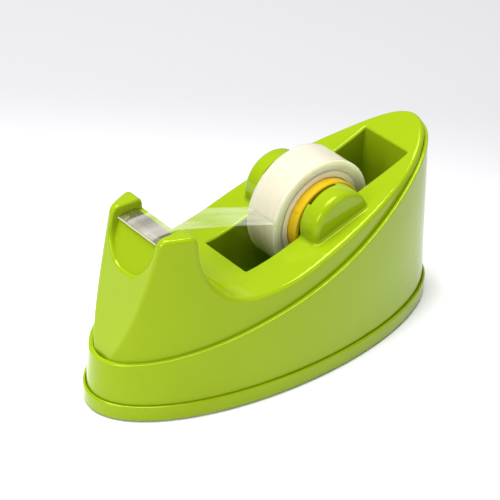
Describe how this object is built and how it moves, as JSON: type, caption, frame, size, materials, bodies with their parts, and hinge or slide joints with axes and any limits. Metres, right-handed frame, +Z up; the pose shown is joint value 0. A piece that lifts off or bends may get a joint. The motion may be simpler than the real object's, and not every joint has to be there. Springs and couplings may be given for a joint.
{
  "type": "tape dispenser",
  "caption": "Desk tape dispenser: glossy oval body on a weighted tray, lift-out turning spool with a tape roll, and a toothed steel cutter between two horns.",
  "frame": {"origin": "centre of the oval base, on the surface that the feet stand on", "axes": "+X runs along the body from the cutter to the high tail, +Y across, +Z up"},
  "size_m": [0.128, 0.055, 0.0592],
  "materials": {
    "body_plastic": "high-gloss injection-moulded plastic",
    "weight_iron": "bare cast iron",
    "blade_steel": "bright pressed steel",
    "spool_plastic": "moulded plastic, semi-gloss",
    "core_plastic": "satin, slightly translucent",
    "wound_tape": "satin wound film",
    "tape_film": "clear film",
    "screw_steel": "zinc-plated",
    "foot_rubber": "soft rubber"
  },
  "bodies": {
    "housing": {"upper_shell": "body_plastic", "skirt_shell": "body_plastic", "base_tray": "body_plastic", "ballast_plate": "weight_iron", "nose_weight": "weight_iron", "cutter_blade": "blade_steel", "base_screws": "screw_steel", "weight_screws": "screw_steel", "foot_front_left": "foot_rubber", "foot_front_right": "foot_rubber", "foot_rear_left": "foot_rubber", "foot_rear_right": "foot_rubber"},
    "spindle": {"spindle": "spool_plastic", "tape_strip": "tape_film"},
    "spool": {"spool_hub": "spool_plastic", "tape_core": "core_plastic", "tape_roll": "wound_tape"}
  },
  "joints": [
    {"name": "spool_lift", "type": "slide", "parent": "housing", "child": "spindle", "axis": [-0.3123, 0, 0.95], "range_m": [0, 0.042]},
    {"name": "spool_spin", "type": "hinge", "parent": "spindle", "child": "spool", "pos_m": [0.0155, 0, 0.0402], "axis": [0, 1, 0], "continuous": true}
  ]
}
